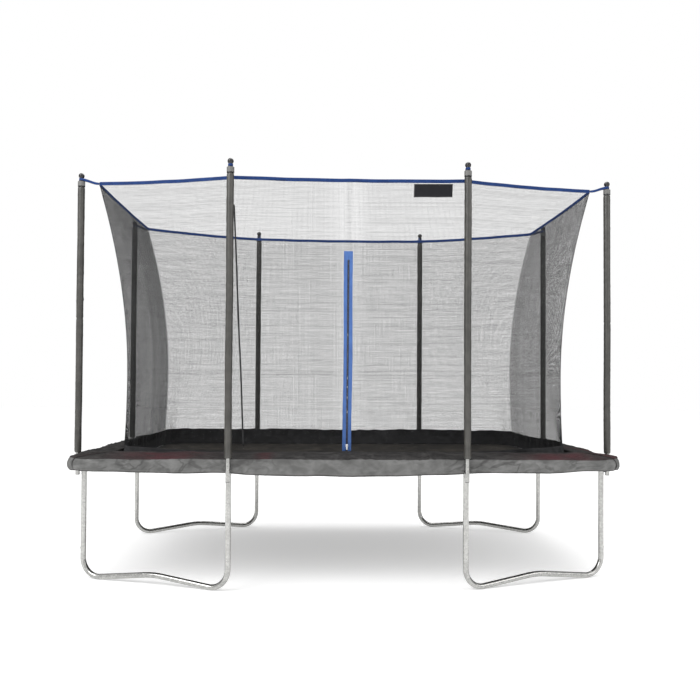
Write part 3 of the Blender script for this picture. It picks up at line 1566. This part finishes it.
@dataclass
class SafetyNet:
    """Knitted net between the rim and the mat, its black foot band and the seam tape."""

    form: NetForm
    pitch: float = 0.008  # spacing of the yarns
    upright_r: float = 0.0006  # radius of the upright yarns
    ridge: float = 1.25  # their depth against their width
    course_r: float = 0.00056  # radius of the level yarns
    film_foot: float = 0.885  # height of the film's foot
    band_top: float = 0.932  # height of the band's upper edge
    door: float = 0.0113  # half the entrance, in u
    zip_top: float = 2.24  # top of the zip's tapes
    zip_foot: float = 0.89  # foot of the zip's tapes
    cloth_u: float = 2.55  # metres of cloth to one u
    over: float = 1.006  # v at which the net ends inside the rim

    def build(self) -> None:
        film = self.film()
        uprights, courses = self.uprights(), self.courses()
        settle(film, ["safety_net"])
        settle(uprights)
        settle(courses)
        tape = settle(self.seam_tape(), ["net_seam_tape"])
        band = settle(self.band(), (), None)
        start, end = (0, 0, self.band_top - 0.005), (0, 0, self.form.foot_z + 0.004)
        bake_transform(band)

    def loop(self, count: int) -> Array:
        """u all round the net, from one edge of the entrance to the other."""
        return np.linspace(self.door, 4 - self.door, count)

    def film(self) -> bpy.types.Object:
        """The net's surface as one layer, with the strip above the zip.

        Returns:
            The new piece.
        """
        u = self.loop(361)
        v = np.linspace(self.form.v_at(self.film_foot), self.over - 0.002, 48)
        shape = Shape().grid(self.form.at(u[:, None], v[None, :]), uv=(u * self.cloth_u, v * CLIMB))
        x = np.linspace(-self.door, self.door, 5)
        top = np.linspace(self.form.v_at(self.zip_top), self.over - 0.002, 12)
        shape.grid(self.form.at(4 + x[:, None], top[None, :]), uv=(x * self.cloth_u, top * CLIMB))
        return shape.made("net_film", NetMesh("net_mesh"))

    def uprights(self) -> bpy.types.Object:
        """Yarns that run up the net, each a three-sided tube along a line of constant u.

        Returns:
            The new piece.
        """
        u = self.loop(int(10.05 / self.pitch))
        u = u + np.random.default_rng(20).uniform(-0.08, 0.08, len(u)) * (u[1] - u[0])
        u = np.clip(u, self.door, 4 - self.door)
        v = np.concatenate([[0, 0.002], np.linspace(0.004, 0.998, 19), [1]])
        low = self.form.v_at(self.film_foot - 0.012)
        v = low + v * (self.over - low)
        shape = Shape()
        self.yarns(shape, u, v, seed=21)
        few = 4 + np.linspace(-self.door, self.door, 8)
        high = self.form.v_at(self.zip_top - 0.004)
        self.yarns(shape, few, high + (self.over - high) * np.array([0, 0.01, 0.5, 0.99, 1]), seed=22)
        return shape.made("net_uprights", NetYarn("net_yarn"))

    def yarns(self, shape: Shape, u: Array, v: Array, seed: int) -> None:
        """Adds one tube for each u, tapered to a point at both ends.

        Args:
            shape: gathers the tubes.
            u: place of each yarn round the net.
            v: points up each yarn.
            seed: seed of the yarns' sizes.
        """
        path = self.form.at(u[:, None], v[None, :])
        out = self.form.outward(u[:, None], v[None, :])
        rng = np.random.default_rng(seed)
        taper = np.where((v > v[0]) & (v < v[-1]), 1, 0.02)
        size = self.upright_r * rng.uniform(0.85, 1.15, (len(u), 1)) * taper
        side = unit(np.cross(np.gradient(path, axis=1), out))
        shape.grid(sweep(path, out, side, ring(size, 3) * [self.ridge, 0.85]), False, True)

    def courses(self) -> bpy.types.Object:
        """Yarns that run round the net at even heights; their sizes drift, which gives streaks.

        Returns:
            The new piece.
        """
        v = np.arange(self.form.v_at(self.film_foot - 0.008), 1.0, self.pitch / 1.89)
        rng = np.random.default_rng(31)
        size = self.course_r * np.exp(rng.normal(0, 0.22, len(v)))
        q = np.concatenate([np.linspace(0, k, n, endpoint=False) + s for s, k, n in self.spans()])
        u = np.unique(np.clip(np.concatenate([q, 2 - q, 2 + q, 4 - q]), self.door, 4 - self.door).round(6))
        shape = Shape()
        self.rounds(shape, u, v, size)
        top = v > self.form.v_at(self.zip_top)
        self.rounds(shape, 4 + np.linspace(-self.door, self.door, 4), v[top], size[top])
        return shape.made("net_courses", NetYarn("net_yarn"))

    def spans(self) -> list[tuple[float, float, int]]:
        """Start, length and number of steps of u in each stretch of a quarter of the way round."""
        a, b, c = self.form.knots
        return [(0.0, a, 5), (a, b - a - 0.03, 5), (b - 0.03, c - b + 0.04, 9), (c + 0.01, 0.99 - c, 6)]

    def rounds(self, shape: Shape, u: Array, v: Array, size: Array) -> None:
        """Adds one tube for each v, with a gentle wave in its height, tapered at both ends.

        Args:
            shape: gathers the tubes.
            u: points along each yarn.
            v: height of each yarn.
            size: radius of each yarn.
        """
        drift = 0.0011 * ripple(u[None, :] * ROUND, v[:, None] * CLIMB, (0.3, 1.2), 33)
        path = self.form.at(u[None, :], v[:, None] + drift / CLIMB)
        out = self.form.outward(*np.broadcast_arrays(u[None, :], v[:, None]))
        radius = size[:, None] * np.where((u > u[0]) & (u < u[-1]), 1, 0.02)[None, :]
        radius = radius * (1 + 0.22 * ripple(u[None, :] * ROUND, v[:, None] * 40, (0.5, 2.2), 34))
        shape.grid(sweep(path, out, UP, ring(radius, 3, 0.5)), False, True, flip=True)

    def band(self) -> bpy.types.Object:
        """Black band at the net's foot: its upper edge waves and it folds in and out a little.

        Returns:
            The new piece.
        """
        u = np.linspace(0, 4, 640, endpoint=False)
        t = np.linspace(0, 1, 13)
        level = self.band_top + 0.009 * ripple(u * ROUND, u * 0, (0.35, 1.3), 51)
        level = level + 0.003 * ripple(u * ROUND, u * 0, (0.1, 0.3), 52)
        around = np.abs((u + 2) % 4 - 2)
        low = self.zip_foot - 0.003 + 0.001 * ripple(u * ROUND, u * 0, (0.3, 1.0), 54)
        level = mix(low, level, smooth(around, 0.3, 0.8))
        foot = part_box("jump_mat")[1].z - 0.0005
        v = mix(self.form.v_at(foot), self.form.v_at(level)[:, None], t[None, :])
        points = self.form.at(u[:, None], v)
        out = self.form.outward(*np.broadcast_arrays(u[:, None], v))
        folds = ripple(u * ROUND, u * 0, (0.05, 0.22), 53)[:, None]
        folds = folds * np.sin(math.pi * t * 0.8)[None, :] * 0.0035
        folds = folds * smooth(around, 0.02, 0.08)[:, None] + 0.0012 * smooth(around, 0.0, 0.03)[:, None]
        points = points + out * folds[..., None]
        length = np.append(u, 4) * 2.46
        shape = Shape().grid(points, close_rows=True, uv=(length, t * 0.12))
        piece = shape.made("net_foot_band", BLACK_BAND)
        thicken(piece, 0.0009)
        return piece

    def seam_tape(self) -> bpy.types.Object:
        """Tape up the front left seam, a flat strip that hangs a little slack.

        Returns:
            The new piece.
        """
        low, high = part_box("net_seam_tape")
        z = np.linspace(low.z, high.z, 90)
        v = self.form.v_at(z)
        u = np.full_like(z, 4 - self.form.knots[0] + 0.0015)
        path = self.form.at(u, v) + self.form.outward(u, v) * 0.0022
        path[:, 0] += 0.002 * ripple(z, z * 0, (0.3, 0.9), 61)
        out = self.form.outward(u, v)
        side = unit(np.cross(np.gradient(path, axis=0), out))
        strip = flat_strip(0.012, 0.001, 5)
        length = np.concatenate([[0], np.cumsum(np.linalg.norm(np.diff(path, axis=0), axis=1))])
        across = np.append(strip[:, 0], strip[0, 0]) + 0.006
        return Shape().grid(
            sweep(path, side, out, strip), False, True, (length, across), poles=True
        ).made("seam_tape", BLACK_TAPE, merge=True)


# ---------------------------------------------------------------- rim, straps and tag


@dataclass
class RimAndStraps:
    """Blue webbing round the top of the net, the straps to the poles and the tag."""

    layout: Layout
    form: NetForm
    width: float = 0.024  # rim's webbing
    thickness: float = 0.0026  # rim's webbing
    neck_r: float = 0.0158  # neck of a pole cap
    strap_w: float = 0.0155  # width of a strap
    gap: float = 0.1245  # from a pole's middle to the rim
    tag: tuple[float, float] = (0.26, 0.088)  # width and height

    def build(self) -> None:
        """Builds the three kinds of piece."""
        settle(self.rim(), ["net_rim"])
        settle(self.straps(), ["net_straps"])
        tag = settle(self.label(), ["net_label"])

    def rim(self) -> bpy.types.Object:
        """Webbing folded over the net's edge: a flat strip on edge, carried along the rim.

        Returns:
            The new piece.
        """
        a, b = self.form.knots[[0, 2]]
        spans = [(0.0, a, 16), (a, b - a, 22), (b, 1 - b, 16)]
        beside = np.array([-0.006, -0.003, 0.003, 0.006])
        q = [np.linspace(0, k, n, endpoint=False) + s for s, k, n in spans]
        q = np.sort(np.concatenate([*q, a + beside, b + beside]))
        u = np.unique(np.concatenate([q, 2 - q, 2 + q, 4 - q]).round(6))
        u = u[u < 4 - 1e-6]
        path = self.form.at(u, np.ones_like(u)) + [0, 0, 0.0135]
        path[:, 2] += 0.0012 * ripple(u * ROUND, u * 0, (0.12, 0.5), 71)
        out = self.form.outward(u, np.ones_like(u))
        path += out * (0.0012 * ripple(u * ROUND, u * 0, (0.1, 0.4), 72))[:, None]
        strip = flat_strip(self.width, self.thickness, 6)
        length = np.append(u, 4) * 2.6
        across = np.append(strip[:, 0], strip[0, 0]) + self.width / 2
        return Shape().grid(
            sweep(path, UP, out, strip), True, True, (length, across)
        ).made("rim_webbing", BLUE_WEBBING)

    def straps(self) -> bpy.types.Object:
        """A loop from the rim round the neck of each pole cap.

        The loop is two straight runs that touch a circle round the neck, and the arc behind
        it; its height rises from the rim to the neck as a smooth step of the distance.

        Returns:
            The new piece.
        """
        shape = Shape()
        reach, r = self.gap, self.neck_r
        touch = math.acos(r / reach)
        run = np.linspace(0, 1, 26)
        tangent_point = r * np.array([math.cos(touch), math.sin(touch)])
        first = mix(np.array([reach, 0.0015]), tangent_point, run[:-1, None])
        arc = np.linspace(touch, TURN - touch, 40)
        around = np.stack([r * np.cos(arc), r * np.sin(arc)], -1)
        loop = np.concatenate([first, around, first[::-1] * [1, -1]])
        for x, y, out, long_side in self.layout.poles():
            low = self.layout.rim_z + (0 if long_side else self.form.rise)
            z = mix(self.layout.strap_z, low, smooth(loop[:, 0], 0.012, reach))
            z = z - 0.003 * np.sin(math.pi * np.clip(loop[:, 0] / reach, 0, 1))
            path = turned(np.concatenate([loop, z[:, None]], -1), out + math.pi) + [x, y, 0]
            side, up = path_frame(path, False, UP)
            strip = flat_strip(self.strap_w, 0.0015, 5)
            length = np.concatenate([[0], np.cumsum(np.linalg.norm(np.diff(path, axis=0), axis=1))])
            across = np.append(strip[:, 0], strip[0, 0]) + self.strap_w / 2
            shape.grid(sweep(path, up, side, strip), False, True, (length, across), poles=True, flip=True)
        return shape.made("rim_straps", BLUE_STRAP, merge=True)

    def label(self) -> bpy.types.Object:
        """Tag sewn under the rim: a sheet that follows the net and curls a little at its foot.

        Returns:
            The new piece.
        """
        low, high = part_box("net_label")
        x = np.linspace(low.x, high.x, 34)
        t = np.linspace(0, 1, 14)
        z = high.z - t * self.tag[1]
        v = self.form.v_at(z)
        u = x / self.layout.long_x * self.form.knots[0]
        points = self.form.at(u[:, None], v[None, :])
        lift = 0.0022 + 0.004 * t[None, :] ** 2 * (1 + 0.5 * np.sin(x[:, None] * 40))
        points = points + np.array([0, -1.0, 0]) * lift[..., None]
        middle = (low.x + high.x) / 2
        shape = Shape().grid(points, uv=(x - middle, z - z.mean()), flip=True)
        piece = shape.made("rim_tag", TagCloth("tag_cloth", size=self.tag))
        thicken(piece, 0.0009)
        return piece


# ---------------------------------------------------------------- entrance


@dataclass
class Entrance:
    """Zip in the front panel: tapes, teeth, end stops, slider and pull."""

    layout: Layout
    form: NetForm
    foot_z: float = 0.89  # foot of the tapes
    top_z: float = 2.24  # top of the tapes
    half: float = 0.0305  # half the width of both tapes
    slot: float = 0.0015  # half the gap between them
    header: float = 0.06  # joined part at the top
    pitch: float = 0.0034  # spacing of the teeth

    def build(self) -> None:
        """Builds the tapes and teeth and dresses the slider and pull."""
        tapes, teeth = self.tapes(), self.teeth()
        settle(tapes, ["zip_tapes"])
        settle(teeth)
        dress(["zip_slider", "zip_pull"], NICKEL)

    def on_panel(self, x: Array, z: Array, out: Array | float) -> Array:
        """Points on the leaning front panel, moved out of it by a distance.

        Args:
            x: distance to the right of the middle.
            z: height above the ground.
            out: distance out of the panel.

        Returns:
            Points, in the shape of x, z and out together, with 3 as the last axis.
        """
        v = self.form.v_at(z)
        y = -mix(self.form.foot_y, self.layout.rim_y, v)
        lean = math.atan2(self.layout.rim_y - self.form.foot_y, self.form.top_z - self.form.foot_z)
        x, y, z, out = np.broadcast_arrays(x, y, z, out)
        return np.stack([x, y - out * math.cos(lean), z - out * math.sin(lean)], -1)

    def tapes(self) -> bpy.types.Object:
        """Two tapes that join above the top stop; their outer edges wander a little.

        Across a tape, x goes from the slot to the outer edge, and the cloth ripples out of
        the panel by a millimetre or two towards that edge.

        Returns:
            The new piece.
        """
        z = np.linspace(self.foot_z, self.top_z, 170)
        s = np.linspace(0, 1, 11)
        closed = z > self.top_z - self.header
        slot = np.where(closed, 0.0, self.slot)
        shape = Shape()
        for side in (-1, 1):
            edge = self.half + side * 0.0022 * ripple(z, z * 0, (0.5, 1.3), 81)
            edge = edge + 0.0006 * ripple(z, z * 0, (0.08, 0.2), 82)
            x = side * mix(slot[:, None], edge[:, None], s[None, :])
            lift = 0.0011 * s[None, :] ** 1.5 * ripple(z, z * 0, (0.1, 0.4), 83 + side)[:, None] + 0.0009
            uv = (z, side * mix(self.slot, self.half, s))
            shape.grid(self.on_panel(x, z[:, None], lift), uv=uv, flip=side > 0)
        piece = shape.made("zip_tape", ZipTape("zip_tape"))
        thicken(piece, 0.0011)
        return piece

    def teeth(self) -> bpy.types.Object:
        """Moulded teeth, the two rows half a pitch apart, with a stop at each end.

        Each tooth is a small block narrowed at its tip. A few are set back, which opens
        slits of light along the zip.

        Returns:
            The new piece.
        """
        count = int((self.top_z - self.header - self.foot_z - 0.006) / self.pitch)
        rng = np.random.default_rng(91)
        run = np.convolve(rng.random(count) > 0.975, np.ones(4), "same") > 0
        block = np.array([[-1, -1], [1, -1], [1, 1], [-1, 1]], float)
        shape = Shape()
        for side in (-1, 1):
            z = self.foot_z + 0.004 + (np.arange(count) + (0.5 if side > 0 else 0)) * self.pitch
            tip = np.where(run, 0.0018, -0.0009)
            cuts = np.array([0.0, 0.0001, 0.35, 1.0, 1.0001])
            width = np.array([0.02, 0.72, 1.0, 1.0, 0.02])
            x = side * mix(tip[:, None], 0.0062, cuts[None, :])
            base = self.on_panel(x, z[:, None], 0.0017)
            up = np.array([0, -0.092, 0.996])
            out = np.array([0, -0.996, -0.092])
            size = width[None, :, None, None] * block * [0.00105, 0.0013]
            size = np.broadcast_to(size, (count, 5, 4, 2))
            shape.grid(sweep(base, up, out, size), False, True, flip=side < 0)
        for z, long in ((self.foot_z + 0.003, 0.0022), (self.top_z - self.header - 0.001, 0.003)):
            x = np.linspace(-0.0075, 0.0075, 7)
            path = self.on_panel(x, np.full(7, z), 0.0019)
            bulge = np.sqrt(np.clip(1 - (x / 0.0076) ** 2, 0.0004, 1))[:, None, None]
            size = bulge * ring(1.0, 8) * [long, 0.0018]
            shape.grid(sweep(path, UP, np.array([0, -1.0, 0]), size), False, True)
        return shape.made("zip_teeth", TOOTH_PLASTIC, soft=False)


# ---------------------------------------------------------------- studio


@dataclass
class Studio:
    """White floor, soft light from above and the left, and the camera."""

    eye: tuple[float, float, float] = (-0.1956, -6.4119, 1.338)  # camera's position
    yaw: float = -0.0393  # its turn to the left
    pitch: float = 0.0227  # its tilt up
    roll: float = 0.006  # its roll
    lens: float = 41.01  # focal length, mm
    shift: float = 0.0249  # its vertical shift
    # Name, place, size and power.
    lamps: tuple[tuple[str, tuple[float, float, float], float, float], ...] = (
        ("key", (-5.0, -5.5, 6.5), 5.0, 420.0),
        ("fill", (6.0, -4.0, 4.0), 4.0, 90.0),
        ("top", (0.5, 1.0, 8.0), 6.0, 380.0),
    )

    def build(self) -> None:
        """Makes everything around the object."""
        self.floor()
        self.sky()
        for lamp in self.lamps:
            self.lamp(*lamp)
        self.camera()
        bpy.context.scene.view_settings.view_transform = "Standard"

    def floor(self) -> None:
        """A wide level sheet at the ground, marked as stage."""
        x = np.linspace(-40, 40, 9)
        points = np.stack([*np.meshgrid(x, x, indexing="ij"), np.zeros((9, 9))], -1)
        Shape().grid(points).made("studio_floor", StudioFloor("studio_floor"))

    def sky(self) -> None:
        """World light: brighter above and to the left, and plain white to the camera."""
        world = bpy.data.worlds.new("studio")
        bpy.context.scene.world = world
        world.use_nodes = True
        nodes = Nodes(world.node_tree)
        x, y, z = nodes.axes(nodes.add("ShaderNodeTexCoord", out="Generated"))
        level = (0.36 - x * 0.1 - y * 0.55 + z.step(-0.1, 0.9, 0.0, 0.5)).most(0.015)
        seen = nodes.add("ShaderNodeLightPath", out="Is Camera Ray")
        strength = level * (1 - seen) + seen
        light = nodes.add("ShaderNodeBackground", sockets={"Color": (1.0, 1.0, 1.0), "Strength": strength})
        nodes.add("ShaderNodeOutputWorld", sockets={"Surface": light})

    def lamp(self, name: str, place: tuple[float, float, float], size: float, power: float) -> None:
        """A square soft light that faces the middle of the enclosure.

        Args:
            name: name of the light.
            place: its position.
            size: length of its sides.
            power: watts.
        """
        data = bpy.data.lights.new(name, "AREA")
        data.size, data.energy = size, power
        made = bpy.data.objects.new(name, data)
        made.location = place
        made.rotation_euler = (Vector((0, 0, 1.2)) - Vector(place)).to_track_quat("-Z", "Y").to_euler()
        bpy.context.scene.collection.objects.link(made)

    def camera(self) -> None:
        """A view from the front, a little left of the middle, turned by yaw, pitch and roll."""
        level = math.cos(self.pitch)
        forward = Vector((-math.sin(self.yaw) * level, math.cos(self.yaw) * level, math.sin(self.pitch)))
        right = Vector((math.cos(self.yaw), math.sin(self.yaw), 0))
        up = right.cross(forward)
        c, s = math.cos(self.roll), math.sin(self.roll)
        right, up = c * right + s * up, c * up - s * right
        data = bpy.data.cameras.new("camera")
        data.lens, data.sensor_width, data.shift_y = self.lens, 36.0, self.shift
        data.clip_end = 200
        made = bpy.data.objects.new("camera", data)
        made.matrix_world = Matrix((
            (right.x, up.x, -forward.x, self.eye[0]), (right.y, up.y, -forward.y, self.eye[1]),
            (right.z, up.z, -forward.z, self.eye[2]), (0, 0, 0, 1),
        ))
        bpy.context.scene.collection.objects.link(made)
        bpy.context.scene.camera = made


def main() -> None:
    """Builds the studio and every sub-assembly."""
    logging.basicConfig(level=logging.INFO, format="%(name)s: %(message)s")
    layout = Layout.read()
    form = NetForm(layout)
    Studio().build()
    Steelwork(layout).build()
    PoleSleeves(layout).build()
    FramePads(layout).build()
    JumpBed(layout).build()
    RimAndStraps(layout, form).build()
    SafetyNet(form).build()
    Entrance(layout, form).build()


if __name__ == "__main__":
    main()
